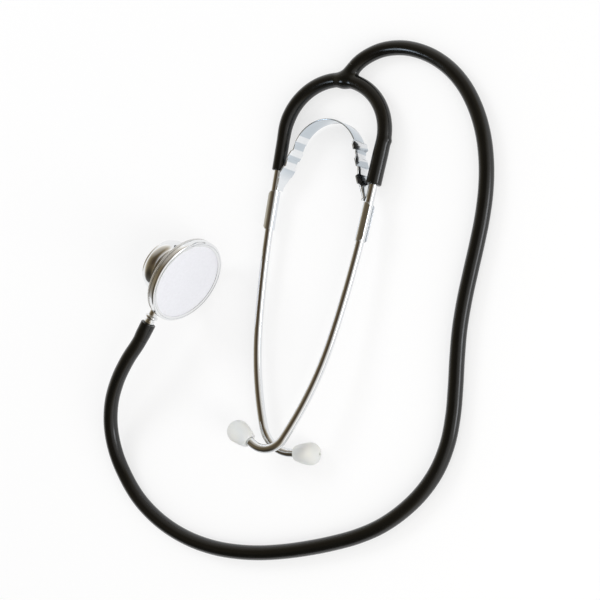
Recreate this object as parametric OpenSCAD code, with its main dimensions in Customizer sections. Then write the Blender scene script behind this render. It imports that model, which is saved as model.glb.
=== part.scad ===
// Dual-head stethoscope, laid out on a table: headset, chestpiece and free hose.
// Millimetres, +Z up. The origin is under the middle of headset and chestpiece, on the table.
// The headset's middle line runs along +Y, from the ear tips to the Y of the tubing.

/* [Tubing] */
// Outside diameter of the soft tubing
tube_od = 8; // [7:0.1:9]
// Bore of the soft tubing
tube_bore = 4.4; // [3.5:0.1:4.6]
// Radius of the arch that the two arms make
arch_r = 30.5; // [27:0.5:34]
// Half angle of the arch that the moulded Y takes
fork_angle = 25; // [20:1:32]
// Length of the moulded Y's stub, from the arch's middle line
stub_len = 10; // [9:0.5:14]
// Turn of the stub towards the side the hose runs off to
stub_turn = 32; // [0:1:36]
// Diameter of the stub's root, where it swells into the arch
stub_root_d = 9.6; // [9.4:0.1:10.4]
// Straight leg of the left arm, below the arch
leg_left = 22; // [21:0.5:36]
// Straight leg of the right arm, below the arch
leg_right = 23.5; // [21:0.5:36]
// Inward lean of the legs
leg_lean = 1; // [0:0.5:3]
// Diameter of an arm where it is stretched over an ear tube
sleeve_od = 8.4; // [8.2:0.1:9.4]
// Length of ear tube pushed up inside an arm
push_in = 17; // [12:0.5:17]
// Length of the taper from a plain arm to the stretched part
sleeve_taper = 2.5; // [1:0.5:3]
// Length of the hose that is pushed over the chestpiece's stem
cuff_len = 10; // [9:0.5:14]

/* [Ear tubes] */
// Outside diameter of an ear tube
ear_od = 4.8; // [4.4:0.1:5.4]
// Bore of an ear tube
ear_bore = 3.6; // [3:0.1:4]
// Straight length of an ear tube below the arch's middle, up to its long bow
ear_straight = 41; // [40:1:60]
// Radius of the long bow
bow_r = 640; // [400:10:700]
// Angle of the long bow
bow_angle = 6; // [4:0.5:9]
// Radius of the closer bow below it
close_r = 190; // [115:5:220]
// Angle of the closer bow
close_angle = 16; // [14:0.5:18]
// Radius of the left tube's end bend
bend_r_left = 18; // [16:0.5:28]
// Angle of the left tube's end bend
bend_left = 76; // [60:1:80]
// Radius of the right tube's end bend
bend_r_right = 13; // [12:0.5:24]
// Angle of the right tube's end bend
bend_right = 92; // [80:1:96]
// Straight length between the bows and the left end bend
lead_left = 1; // [1:0.5:6]
// Straight length between the bows and the right end bend
lead_right = 4.5; // [1:0.5:6]
// Straight end of an ear tube, all but its first part inside the ear tip
ear_end = 12; // [10:0.5:14]
// Rise of the right ear tube, so that its tip passes over the left one
rise_right = 4.4; // [4:0.1:6]

/* [Ear tips] */
// Largest diameter of an ear tip
tip_d = 12.2; // [11:0.2:13.4]
// Length of an ear tip
tip_len = 15; // [14:0.5:18]
// Diameter of the ear tip's skirt
skirt_d = 8.4; // [8.2:0.1:10]
// Diameter of the hole in the ear tip's nose
tip_hole_d = 2.8; // [2:0.1:3.2]
// Outside diameter of the threaded nipple on the ear tube's end
nipple_d = 6.4; // [6:0.1:7]
// Length of the nipple
nipple_len = 7; // [6:0.5:8]

/* [Leaf spring] */
// Width of the spring strip
strip_w = 11; // [9:0.2:11.2]
// Thickness of the spring strip
strip_t = 0.7; // [0.5:0.1:1]
// Radius of the strip's crown, to the middle of its thickness
crown_r = 20; // [18:0.5:22]
// Distance from the arch's middle down to the crown's middle
crown_drop = 12.5; // [10:0.5:16]
// Distance from the arch's middle down to the top of the clips
clip_drop = 33.5; // [32:0.5:40]
// Length of a clip
clip_len = 21; // [16:1:22]
// Reach of a clip's wings past the ear tube's middle
wing_reach = 2.4; // [1.5:0.1:3.2]
// Chamfer on the corners of the wings
wing_chamfer = 1.4; // [0.5:0.1:2]
// Depth of the steps pressed into the spring's legs
step_depth = 1.2; // [0.6:0.1:1.6]

/* [Chestpiece] */
// Outside diameter of the diaphragm's retaining ring
ring_d = 49.2; // [46:0.2:52]
// Depth of the retaining ring
ring_h = 3.1; // [2.8:0.1:4]
// Thickness of the body's knurled flange
flange_t = 1.5; // [1.2:0.1:2]
// Gap between the flange and the ring
flange_gap = 0.4; // [0.2:0.1:0.8]
// Width of the ring's wall outside its thread
ring_wall = 1.4; // [1.2:0.1:2]
// Width of the ring's inner lip over the diaphragm
lip_w = 1.5; // [1:0.1:2.6]
// Thickness of the ring's lip
lip_t = 0.55; // [0.4:0.05:0.8]
// Thickness of the diaphragm
diaphragm_t = 0.4; // [0.3:0.05:0.6]
// Distance from the stem's axis to the back of the flange
drum_up = 6.6; // [5:0.1:7]
// Diameter of the neck between drum and bell
neck_d = 20; // [18:0.5:24]
// Diameter of the bell's rim
rim_d = 28.8; // [27:0.2:32]
// Width of the bell's rim band
rim_band = 1.4; // [1:0.1:2]
// Distance from the stem's axis to the bell's rim
bell_down = 10.4; // [10.2:0.1:13]
// Radius of the rounding on the bell's side
bell_round = 5.5; // [5:0.1:6]
// Wall of the bell at its rim
bell_wall = 1.8; // [1.4:0.1:2.4]
// Azimuth of the diaphragm's outward normal on the table
chest_azimuth = -22; // [-30:1:-15]
// Lean back of the diaphragm
chest_lean = 5; // [2:1:8]
// Downward slope of the stem
stem_drop = 3; // [0:1:14]

/* [Stem] */
// Diameter of the stem's barrel inside the body
barrel_d = 6; // [5.6:0.1:6.4]
// Diameter of the stem's bare neck
stem_d = 5; // [4.6:0.1:5.4]
// Bore of the stem
stem_bore = 3; // [2.4:0.1:3.2]
// Diameter of the stem's shoulder
shoulder_d = 7.2; // [6.6:0.1:8]
// Distance from the chestpiece's axis to the shoulder
shoulder_at = 27.6; // [25.8:0.1:28]
// Thickness of the shoulder
shoulder_t = 2; // [1.6:0.1:2.4]
// Distance from the chestpiece's axis to the end of the hose
hose_at = 32.7; // [31:0.1:35]
// Diameter of the barbs inside the hose
barb_d = 5.8; // [5.4:0.1:6.2]
// Diameter of the sound passages in the body
port_d = 2.6; // [2:0.1:2.8]
// Diameter of the detent ball
ball_d = 2.8; // [2.4:0.1:3]
// Depth of the stem's detent groove
groove_deep = 0.5; // [0.4:0.05:0.6]
// Radial clearance of the parts that turn
run_gap = 0.05; // [0.02:0.01:0.08]

/* [Hidden] */
$fn = 64;

LEFT = -1;
RIGHT = 1;
eps = 0.01;
over = 1;             // how far a cutter runs past a face
black = "#161512";
chrome = "#c9ccd0";
white = "#e9e9e6";

// Places on the table
head_x = 30.2;        // middle line of the headset
arch_y = 68;          // middle of the arch
chest_x = -43.5;      // crossing of stem axis and chestpiece axis
chest_y = -18.5;
tube_r = tube_od / 2;
head_z = tip_d / 2;   // the left half lies level, its tip on the table
stub_sink = 1;        // the stub starts this far inside the arch's middle line
lift = 0.05;          // clearance of what lies on the table
// The arch slopes down until the stub's root lies on the table
arch_slope = asin((head_z - stub_root_d / 2 - lift) / arch_r);

// A run is a list of steps: [length, 0, 0] is straight, [radius, angle, roll] is a bend.
// It starts at the origin, heads along -Y and bends towards -X; roll turns the bend's plane.
level_r = 30;         // radius of the small bend from the arch's slope to a leg's
function rise(side) = side == RIGHT ? rise_right : 0;
function level_turn(side) = rise(side) - arch_slope;
function level_len(side) = level_r * abs(level_turn(side)) * PI / 180;
function leg(side) = side == RIGHT ? leg_right : leg_left;
function arch_step(from) = [arch_r, 90 + leg_lean - from, 0];
function level_step(side) = [level_r, abs(level_turn(side)), level_turn(side) > 0 ? 90 : -90];
function arm_steps(side) = [arch_step(fork_angle), level_step(side),
                            [leg(side) - level_len(side), 0, 0]];
function bend_r(side) = side == RIGHT ? bend_r_right : bend_r_left;
function bend_turn(side) = side == RIGHT ? bend_right : bend_left;
function lead(side) = side == RIGHT ? lead_right : lead_left;
function ear_steps(side) = [[ear_straight - leg(side) + push_in, 0, 0], [bow_r, bow_angle, 0],
                            [close_r, close_angle, 0], [lead(side), 0, 0],
                            [bend_r(side), bend_turn(side), 0], [ear_end, 0, 0]];

// Moves its children over the first n steps of a run
module along(steps, n, i = 0) {
    if (i >= n) children();
    else if (steps[i][1] == 0) translate([0, -steps[i][0], 0]) along(steps, n, i + 1) children();
    else rotate([0, steps[i][2], 0]) translate([-steps[i][0], 0, 0])
        rotate([0, 0, -steps[i][1]]) translate([steps[i][0], 0, 0])
        rotate([0, -steps[i][2], 0]) along(steps, n, i + 1) children();
}

// The wall of a pipe, cut across
module pipe_wall(d, bore) {
    difference() {
        circle(d = d, $fn = 48);
        circle(d = bore, $fn = 48);
    }
}

// A run as a pipe. Its pieces stop a hair short of each joint, which a short sleeve closes,
// as thick as the wall but for a hair.
joint_len = 0.5;
joint_gap = 0.1;
joint_lap = 0.02;
module pipe_joint(steps, i, d, bore) {
    along(steps, i) translate([0, joint_len / 2, 0]) rotate([90, 0, 0])
        linear_extrude(height = joint_len) pipe_wall(d + 2 * joint_lap, bore - 2 * joint_lap);
}

module pipe(steps, d, bore) {
    n = len(steps);
    for (i = [0:n - 1]) {
        s = steps[i];
        first = i == 0 ? 0 : joint_gap;
        last = i == n - 1 ? 0 : joint_gap;
        turn = (first + last) / max(s[0], 1) * 180 / PI;
        back = s[1] - last / max(s[0], 1) * 180 / PI;
        along(steps, i) {
            if (s[1] == 0) translate([0, -first, 0]) rotate([90, 0, 0])
                linear_extrude(height = s[0] - first - last) pipe_wall(d, bore);
            else rotate([0, s[2], 0]) translate([-s[0], 0, 0]) rotate([0, 0, -back])
                rotate_extrude(angle = s[1] - turn, $fn = max(64, ceil(s[0] * 1.5)))
                translate([s[0], 0]) pipe_wall(d, bore);
        }
        if (i > 0) pipe_joint(steps, i, d, bore);
    }
}

module sided(side) {
    if (side == RIGHT) children();
    else mirror([1, 0, 0]) children();
}

// The arch's plane, with its middle at the origin
module arch_frame() {
    translate([head_x, arch_y, head_z]) rotate([-arch_slope, 0, 0]) children();
}

// A point of the arch, heading down one side, from degrees away from its top
module arch_at(side, from) {
    arch_frame() sided(side) rotate([0, 0, -from]) translate([0, arch_r, 0])
        rotate([0, 0, 90]) children();
}

// The lower end of an arm, where its ear tube comes out
module arm_end(side) {
    steps = arm_steps(side);
    arch_at(side, fork_angle) along(steps, len(steps)) children();
}

// The end of an ear tube
module ear_end_frame(side) {
    steps = ear_steps(side);
    arm_end(side) translate([0, push_in, 0]) along(steps, len(steps)) children();
}

// Moulded Y: the top of the arch and the stub that the hose continues
module y_fork() {
    color(black) arch_frame() difference() {
        union() {
            fork_arch() pipe_wall(tube_od, tube_bore);
            difference() {
                stub_bar(stub_root_d / 2, tube_r, 0);
                fork_arch() circle(d = tube_bore, $fn = 48);
            }
        }
        stub_bar(tube_bore / 2, tube_bore / 2, over);
    }
}

module fork_arch() {
    rotate([0, 0, 90 - fork_angle]) rotate_extrude(angle = 2 * fork_angle, $fn = 128)
        translate([arch_r, 0]) children();
}

module stub_bar(root_r, end_r, extra) {
    translate([0, arch_r, 0]) rotate([0, 0, -stub_turn]) translate([0, -stub_sink, 0])
        rotate([-90, 0, 0]) cylinder(r1 = root_r, r2 = end_r, h = stub_len + extra);
}

// Soft arm: arch, leg, and the stretched sleeve over the ear tube
module arm(side) {
    steps = arm_steps(side);
    bends = [steps[0], steps[1], [joint_len, 0, 0]];
    end = steps[2][0];
    color(black) arch_at(side, fork_angle) {
        pipe(bends, tube_od, tube_bore);
        along(steps, 2) rotate([90, 0, 0]) rotate_extrude() polygon([
            [tube_bore / 2, joint_len], [tube_r, joint_len], [tube_r, end - push_in - sleeve_taper],
            [sleeve_od / 2, end - push_in], [sleeve_od / 2, end], [ear_od / 2, end],
            [ear_od / 2, end - push_in], [tube_bore / 2, end - push_in]]);
        pipe_joint(bends, len(bends), tube_od, tube_bore);
    }
}

module arm_left() { arm(LEFT); }
module arm_right() { arm(RIGHT); }

// Chromed ear tube
module ear_tube(side) {
    color(chrome) arm_end(side) translate([0, push_in, 0]) pipe(ear_steps(side), ear_od, ear_bore);
}

module ear_tube_left() { ear_tube(LEFT); }
module ear_tube_right() { ear_tube(RIGHT); }

// Threaded nipple on the end of an ear tube, drawn with closed grooves for its thread
nipple_pitch = 1.4;
nipple_groove = 0.35;
module ear_nipple(side) {
    color(chrome) ear_end_frame(side) rotate([-90, 0, 0]) difference() {
        cylinder(d = nipple_d, h = nipple_len);
        translate([0, 0, -over]) cylinder(d = ear_od, h = nipple_len + 2 * over);
        for (z = [nipple_pitch:nipple_pitch:nipple_len - nipple_pitch / 2])
            translate([0, 0, z - nipple_groove / 2]) difference() {
                cylinder(d = nipple_d + over, h = nipple_groove);
                translate([0, 0, -eps]) cylinder(d = nipple_d - 2 * nipple_groove,
                                                 h = nipple_groove + 2 * eps);
            }
    }
}

module ear_nipple_left() { ear_nipple(LEFT); }
module ear_nipple_right() { ear_nipple(RIGHT); }

// Hollow ear tip: a round nose that narrows to a skirt
nose_gap = 0.6;       // from the ear tube's end to the inside of the nose
skirt_run = 1.6;      // how far the skirt reaches past the nipple
cone_low = 1.46;      // the narrowing starts this far behind the nose's middle
hole_flare = 0.5;     // depth of the flare at the hole's mouth
module ear_tip(side) {
    skirt_back = nipple_len + nose_gap + skirt_run;
    cone_d = 2 * sqrt(pow(tip_d / 2, 2) - pow(cone_low, 2)) - 2 * eps;
    color(white) ear_end_frame(side) translate([0, skirt_back, 0]) rotate([90, 0, 0])
    difference() {
        union() {
            translate([0, 0, tip_len - tip_d / 2]) sphere(d = tip_d, $fn = 64);
            cylinder(d1 = skirt_d, d2 = cone_d, h = tip_len - tip_d / 2 - cone_low);
        }
        translate([0, 0, -over])
            cylinder(d = nipple_d + 2 * run_gap, h = skirt_back + nose_gap + over);
        cylinder(d = tip_hole_d, h = tip_len + over);
        translate([0, 0, tip_len - hole_flare]) cylinder(
            d1 = tip_hole_d, d2 = tip_hole_d + 2 * (hole_flare + over), h = hole_flare + over);
    }
}

module ear_tip_left() { ear_tip(LEFT); }
module ear_tip_right() { ear_tip(RIGHT); }

// Spring clip: the strip's end folded round the ear tube's inner side
module spring_clip(side) {
    web_r = ear_od / 2 + strip_t;
    below = clip_drop - leg(side);
    color(chrome) arm_end(side) translate([0, -below, 0]) difference() {
        rotate([90, 0, 0]) linear_extrude(height = clip_len) difference() {
            union() {
                circle(r = web_r);
                translate([0, -web_r]) square([wing_reach, 2 * web_r]);
            }
            circle(d = ear_od);
            translate([0, -ear_od / 2]) square([web_r + wing_reach, ear_od]);
            translate([wing_reach, -web_r - over]) square([2 * web_r, 2 * web_r + 2 * over]);
        }
        for (y = [0, -clip_len]) translate([wing_reach, y, 0]) rotate([0, 0, 45])
            cube([wing_chamfer * sqrt(2), wing_chamfer * sqrt(2), 2 * web_r + over], center = true);
    }
}

module spring_clip_left() { spring_clip(LEFT); }
module spring_clip_right() { spring_clip(RIGHT); }

// Leaf spring: half of its middle line, from the crown down to the clip
seat_gap = 0.05;
crown_end = 28;       // degrees above its widest point at which the crown ends
crown_steps = 14;
facets = 4;           // each leg is pressed into this many
facet_from = 0.13;    // where they start and end, as parts of the leg's length
facet_to = 0.77;
seat_run = 2.4;       // last part of the strip, that lies along the ear tube
clip_gap = 0.3;
clip_x = arch_r - clip_drop * sin(leg_lean) - ear_od / 2 - strip_t / 2 - seat_gap;
function crown_at(a) = [crown_r * cos(a), crown_r * sin(a) - crown_drop];
seat_top = [clip_x, seat_run - clip_drop];
half_line = concat(
    [for (i = [0:crown_steps]) crown_at(90 - (90 - crown_end) * i / crown_steps)],
    [for (i = [0:facets]) let (f = facet_from + (facet_to - facet_from) * i / facets)
        crown_at(crown_end) * (1 - f) + seat_top * f + [step_depth * (0.5 - i % 2), 0]],
    [seat_top, [clip_x, clip_gap - clip_drop]]);
full_line = concat([for (i = [len(half_line) - 1:-1:1]) [-half_line[i][0], half_line[i][1]]],
                   half_line);
function unit(v) = v / norm(v);
function side_of(line, i) = let (
    a = line[max(i - 1, 0)], b = line[min(i + 1, len(line) - 1)], t = unit(b - a))
    [-t[1], t[0]];
clip_rise = (clip_drop - level_len(RIGHT)) * sin(rise_right)
    + level_len(RIGHT) * sin((rise_right + arch_slope) / 2);
spring_roll = atan(clip_rise / (2 * clip_x));
module leaf_spring() {
    n = len(full_line);
    left_side = [for (i = [0:n - 1]) full_line[i] + side_of(full_line, i) * strip_t / 2];
    right_side = [for (i = [n - 1:-1:0]) full_line[i] - side_of(full_line, i) * strip_t / 2];
    color(chrome) translate([head_x, arch_y, head_z + clip_rise / 2])
        rotate([0, -spring_roll, 0])
        linear_extrude(height = strip_w, center = true) polygon(concat(left_side, right_side));
}

// Chestpiece: Z is the diaphragm's normal, X the stem's axis, the origin where they cross
ring_r = ring_d / 2;
flange_in = 0.2;      // the flange is this much smaller than the ring, on the radius
flange_r = ring_r - flange_in;
thread_r = ring_r - ring_wall;
ring_back = drum_up + flange_t + flange_gap;
seat_up = ring_back + ring_h - lip_t - diaphragm_t - run_gap;
chest_z = ring_r * cos(chest_lean) - ring_back * sin(chest_lean);
module chest_frame() {
    translate([chest_x, chest_y, chest_z]) rotate([0, 0, chest_azimuth])
        rotate([0, 90 - chest_lean, 0]) rotate([0, 0, stem_drop - 90]) children();
}

dish_r = thread_r - 2.2;  // the diaphragm rests on what is left outside it
dish_floor_r = 4;
dish_deep = 2.4;
bore_r = barrel_d / 2 + run_gap;
bore_in = 4.5;        // how far the bore runs past the chestpiece's axis
ball_x = 3.2;
ball_y = barrel_d / 2 - groove_deep + ball_d / 2;
ball_gap = 0.1;
detent_bore_d = ball_d + 2 * ball_gap;
bulge_out = 1.2;      // the bell's side bulges this far past its rim
bulge_r = rim_d / 2 + bulge_out;
bulge_low = 1.3;      // the bulge's rounding would end this far below the rim
cone_from = barrel_d / 2 + 0.3;
cone_foot = 1;        // the cone under the flange starts this far outside the neck
cone_in = 0.8;        // and ends this far inside the flange's edge
cup_r = 7.2;
cup_low = 0.6;        // the cup's rounding has its middle this far below the rim
cup_mid = rim_d / 2 - bell_wall - cup_r;
module chest_body() {
    band_up = -bell_down + rim_band;
    round_z = -bell_down + bell_round - bulge_low;
    color(chrome) chest_frame() difference() {
        union() {
            translate([0, 0, round_z]) cylinder(d = neck_d, h = drum_up - round_z);
            translate([0, 0, cone_from])
                cylinder(r1 = neck_d / 2 + cone_foot, r2 = flange_r - cone_in, h = drum_up - cone_from);
            translate([0, 0, drum_up]) cylinder(r = flange_r, h = flange_t);
            translate([0, 0, drum_up]) cylinder(r = thread_r - run_gap, h = seat_up - drum_up);
            rotate_extrude($fn = 96) intersection() {
                union() {
                    translate([bulge_r - bell_round, round_z]) circle(r = bell_round, $fn = 96);
                    translate([0, band_up]) square([bulge_r - bell_round, round_z + bell_round - band_up]);
                }
                translate([0, band_up]) square([2 * bulge_r, 2 * bell_down]);
            }
            translate([0, 0, -bell_down]) cylinder(d = rim_d, h = rim_band + eps);
        }
        translate([0, 0, seat_up - dish_deep]) 
            cylinder(r1 = dish_floor_r, r2 = dish_r, h = dish_deep + eps);
        rotate_extrude($fn = 96) intersection() {
            union() {
                translate([cup_mid, -bell_down - cup_low]) circle(r = cup_r, $fn = 96);
                translate([0, -bell_down - over]) square([cup_mid, cup_r - cup_low + over]);
            }
            translate([0, -bell_down - over]) square([rim_d, 2 * cup_r]);
        }
        translate([0, 0, -bell_down]) cylinder(d = port_d, h = bell_down + seat_up);
        translate([-bore_in, 0, 0]) rotate([0, 90, 0]) cylinder(r = bore_r, h = bore_in + ring_d);
        translate([ball_x, 0, 0]) rotate([-90, 0, 0]) cylinder(d = detent_bore_d, h = neck_d);
    }
}

// Retaining ring: a threaded wall with a rounded bead and a thin lip over the diaphragm
bead_r = 1.1;
module retaining_ring() {
    front = ring_back + ring_h;
    color(chrome) chest_frame() rotate_extrude($fn = 128) difference() {
        union() {
            translate([thread_r - lip_w, front - lip_t]) square([lip_w + ring_wall - bead_r, lip_t]);
            translate([thread_r, ring_back]) square([ring_wall, ring_h - bead_r]);
            translate([thread_r, ring_back]) square([ring_wall - bead_r, ring_h]);
            translate([ring_r - bead_r, front - bead_r]) circle(r = bead_r, $fn = 48);
        }
        translate([0, ring_back - over])
            square([thread_r, ring_h - lip_t + over]);
    }
}

// Diaphragm disc, clamped between the body's rim and the ring's lip
disc_gap = 0.3;       // round the diaphragm's edge
module diaphragm() {
    color("#eceef3") chest_frame() translate([0, 0, seat_up])
        cylinder(r = thread_r - disc_gap, h = diaphragm_t, $fn = 128);
}

// Stem: barrel in the body, bare neck with a shoulder, and barbs inside the hose
barrel_end = 11;      // from the chestpiece's axis to the step down to the neck
barrel_gap = 0.3;     // between the barrel and the bottom of its bore
bore_back = 2;        // how far the stem's bore runs past the chestpiece's axis
seal_x = 7;
seal_d = 0.84;
seal_out = 0.02;      // the seal stands this far out of the barrel
seal_room = 1.4 * seal_d;
barbs = 3;
barb_pitch = 3.6;
barb_step = 0.4;      // plain length between two barbs
stem_short = 1;       // the hose runs on this far past the stem's end
module stem() {
    stem_end = hose_at + cuff_len - stem_short;
    color(chrome) chest_frame() difference() {
        rotate([0, 90, 0]) {
            translate([0, 0, barrel_gap - bore_in])
                cylinder(d = barrel_d, h = barrel_end + bore_in - barrel_gap);
            cylinder(d = stem_d, h = stem_end);
            translate([0, 0, shoulder_at]) shoulder();
            for (i = [1:barbs]) translate([0, 0, stem_end - i * barb_pitch])
                cylinder(d1 = barb_d, d2 = stem_d, h = barb_pitch - barb_step);
        }
        rotate([0, 90, 0]) {
            translate([0, 0, -bore_back]) cylinder(d = stem_bore, h = stem_end + over + bore_back);
            rotate_extrude($fn = 64) translate([ball_y, ball_x])
                circle(d = ball_d + 2 * run_gap, $fn = 32);
            translate([0, 0, seal_x - seal_room / 2]) difference() {
                cylinder(d = barrel_d + over, h = seal_room);
                translate([0, 0, -eps])
                    cylinder(d = barrel_d - 2 * (seal_d - seal_out), h = seal_room + 2 * eps);
            }
        }
        cylinder(d = port_d, h = barrel_d);
    }
}

module shoulder() {
    rotate_extrude($fn = 64) {
        square([shoulder_d / 2 - shoulder_t / 2, shoulder_t]);
        translate([shoulder_d / 2 - shoulder_t / 2, shoulder_t / 2]) circle(d = shoulder_t, $fn = 32);
    }
}

// Rubber ring that seals the stem's barrel in the body
module stem_seal() {
    color(black) chest_frame() rotate([0, 90, 0]) rotate_extrude($fn = 64)
        translate([barrel_d / 2 - seal_d / 2 + seal_out, seal_x]) circle(d = seal_d, $fn = 32);
}

// Detent in the neck: ball, coil spring and slotted grub screw
screw_len = 2.2;
screw_in = 0.2;       // the screw lies this far under the neck's skin
screw_out = sqrt(pow(neck_d / 2, 2) - pow(ball_x + detent_bore_d / 2, 2)) - screw_in;
slot_w = 0.6;
module detent_at(y) {
    chest_frame() translate([ball_x, y, 0]) rotate([-90, 0, 0]) children();
}
module detent_ball() {
    color(chrome) detent_at(ball_y) sphere(d = ball_d, $fn = 48);
}
module detent_screw() {
    color(chrome) detent_at(screw_out - screw_len) difference() {
        cylinder(d = detent_bore_d, h = screw_len);
        translate([-slot_w / 2, -ball_d, screw_len - slot_w]) cube([slot_w, 2 * ball_d, over]);
    }
}

// A closed tube of triangles: each ring is a list of corners, the first and last are capped
module skin(rings) {
    m = len(rings[0]);
    n = len(rings);
    corners = [for (ring = rings) each ring];
    walls = [for (i = [0:n - 2], j = [0:m - 1]) let (
                 a = i * m + j, b = i * m + (j + 1) % m, c = a + m, d = b + m)
             each [[a, b, c], [b, d, c]]];
    caps = concat([for (j = [1:m - 2]) [0, j + 1, j]],
                  [for (j = [1:m - 2]) [(n - 1) * m, (n - 1) * m + j, (n - 1) * m + j + 1]]);
    polyhedron(points = corners, faces = concat(walls, caps));
}
function ring_at(p, t, r, sides) = let (
    s = unit(cross(t, [0, 0, 1])), u = cross(s, t))
    [for (k = [0:sides - 1]) p + r * (cos(360 * k / sides) * s + sin(360 * k / sides) * u)];

// Coil spring behind the detent ball, one unbroken wire
coil_wire_d = 0.36;
coil_turns = 3;
coil_ring = 10;
coil_sides = 6;
coil_in = 0.25;       // the coil is this much smaller than the ball, on the radius
coil_r = ball_d / 2 - coil_wire_d / 2 - coil_in;
coil_from = ball_y + sqrt(pow(ball_d / 2, 2) - pow(coil_r, 2)) + coil_wire_d / 2;
coil_to = screw_out - screw_len - coil_wire_d / 2;
module detent_spring() {
    n = coil_turns * coil_ring;
    rise_per = (coil_to - coil_from) / n;
    turn = 360 / coil_ring;
    rings = [for (i = [0:n]) let (
        a = i * turn,
        out = [cos(a), sin(a), 0],
        ahead = unit([-sin(a) * coil_r * turn * PI / 180, cos(a) * coil_r * turn * PI / 180, rise_per]),
        up = cross(out, ahead),
        p = out * coil_r + [0, 0, i * rise_per])
        [for (k = [0:coil_sides - 1]) p + coil_wire_d / 2
            * (cos(360 * k / coil_sides) * out - sin(360 * k / coil_sides) * up)]];
    color(chrome) detent_at(coil_from) skin(rings);
}

// Hose pushed over the barbs, at the end of the free tube
cuff_swell = 0.2;     // the barbs stretch it by this much, on the radius
cuff_r = tube_r + cuff_swell;
module hose_cuff() {
    color(black) chest_frame() rotate([0, 90, 0]) translate([0, 0, hose_at]) difference() {
        cylinder(r = cuff_r, h = cuff_len);
        translate([0, 0, -over]) cylinder(d = barb_d, h = cuff_len + over);
    }
}

// Free hose. Directions and ends come from the stub and the stem, the route between is chosen.
stub_dir = [sin(stub_turn), cos(stub_turn) * cos(arch_slope), -cos(stub_turn) * sin(arch_slope)];
stub_end = [head_x, arch_y + arch_r * cos(arch_slope), head_z - arch_r * sin(arch_slope)]
    + (stub_len - stub_sink) * stub_dir;
stem_dir = let (
    lean_x = [cos(chest_azimuth) * sin(chest_lean), sin(chest_azimuth) * sin(chest_lean), -cos(chest_lean)],
    lean_y = [-sin(chest_azimuth), cos(chest_azimuth), 0])
    sin(stem_drop) * lean_x - cos(stem_drop) * lean_y;
cuff_end = [chest_x, chest_y, chest_z] + (hose_at + cuff_len) * stem_dir;
lie = tube_r + lift;
route = [
    [46.2, 115.2, lie], [60.3, 118.4, lie], [74.8, 116.6, lie], [88.2, 110.9, lie], [99.7, 102.0, lie],
    [108.8, 90.6, lie], [115.6, 77.7, lie], [120.1, 63.8, lie], [122.6, 49.5, lie], [123.4, 34.9, lie],
    [123.0, 20.3, lie], [122.2, 5.7, lie], [121.6, -8.9, lie], [121.8, -23.5, lie], [123.2, -38.0, lie],
    [125.1, -52.5, lie], [126.5, -67.0, lie], [126.2, -81.6, lie], [123.0, -95.8, lie],
    [116.6, -108.9, lie], [107.7, -120.4, lie], [97.0, -130.3, lie], [84.7, -138.2, lie],
    [71.6, -144.5, lie], [58.1, -150.0, lie], [44.3, -154.8, lie], [30.2, -158.7, lie],
    [15.8, -161.3, lie], [1.3, -162.4, lie], [-13.3, -161.6, lie], [-27.6, -158.7, lie],
    [-41.2, -153.6, lie], [-53.8, -146.2, lie], [-64.5, -136.4, 4.3], [-72.6, -124.5, 6.3],
    [-77.0, -111.0, 9.4], [-76.7, -97.1, 13.6], [-72.6, -83.7, 17.6], [-66.3, -70.9, 20.5]];
// A point halfway between each two on a smooth line through them all
function halfway(line, i) = let (n = len(line) - 1)
    (9 * (line[i] + line[i + 1]) - line[max(i - 1, 0)] - line[min(i + 2, n)]) / 16;
module main_tube() {
    sides = 12;
    ends = concat([stub_end], route, [cuff_end]);
    line = concat([for (i = [0:len(ends) - 2]) each [ends[i], halfway(ends, i)]], [cuff_end]);
    n = len(line);
    ahead = [for (i = [0:n - 1]) i == 0 ? stub_dir : i == n - 1 ? -stem_dir
             : unit(line[i + 1] - line[i - 1])];
    color(black) skin([for (i = [0:n - 1]) ring_at(line[i], ahead[i], tube_r, sides)]);
}

main_tube();
hose_cuff();
y_fork();
arm_left();
arm_right();
ear_tube_left();
ear_tube_right();
ear_nipple_left();
ear_nipple_right();
ear_tip_left();
ear_tip_right();
leaf_spring();
spring_clip_left();
spring_clip_right();
chest_body();
retaining_ring();
diaphragm();
stem();
stem_seal();
detent_ball();
detent_spring();
detent_screw();
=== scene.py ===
# %% [markdown]
# # A dual-head stethoscope on a white table
# The imported CAD model is the frame of this scene. It gives the bodies that move and the places of
# every part. This script only dresses it: each piece is made in metres, in the same frame, and all
# but the arms and the spring's halves ride on one of the CAD's bodies.

# %% Load the frame
import math
import bmesh
import bpy
import numpy as np
from mathutils import Matrix, Vector


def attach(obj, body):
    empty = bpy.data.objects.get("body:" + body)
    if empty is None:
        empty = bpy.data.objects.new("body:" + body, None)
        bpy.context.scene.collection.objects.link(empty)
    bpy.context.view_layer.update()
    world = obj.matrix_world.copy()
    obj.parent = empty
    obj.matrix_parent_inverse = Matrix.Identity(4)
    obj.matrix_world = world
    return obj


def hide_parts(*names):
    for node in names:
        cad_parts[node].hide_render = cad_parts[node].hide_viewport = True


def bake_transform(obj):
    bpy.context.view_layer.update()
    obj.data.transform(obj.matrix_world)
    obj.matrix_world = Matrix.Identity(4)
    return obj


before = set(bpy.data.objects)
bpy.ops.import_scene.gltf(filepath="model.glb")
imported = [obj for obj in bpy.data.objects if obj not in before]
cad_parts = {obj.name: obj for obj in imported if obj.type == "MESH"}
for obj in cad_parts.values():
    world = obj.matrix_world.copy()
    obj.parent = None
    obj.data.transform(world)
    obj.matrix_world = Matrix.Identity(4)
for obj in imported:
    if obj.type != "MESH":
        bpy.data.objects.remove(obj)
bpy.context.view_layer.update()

MM = 0.001


# %% [markdown]
# ## Places and runs
# The soft arms and the ear tubes are bent from straight lengths and arcs. The
# CAD walks along such a run from one end to the other, and this walk repeats
# it, so that a tube made here lies exactly where the solid one does. A step
# of a run is a length, or a bend's radius with its angle and its roll.

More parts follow.
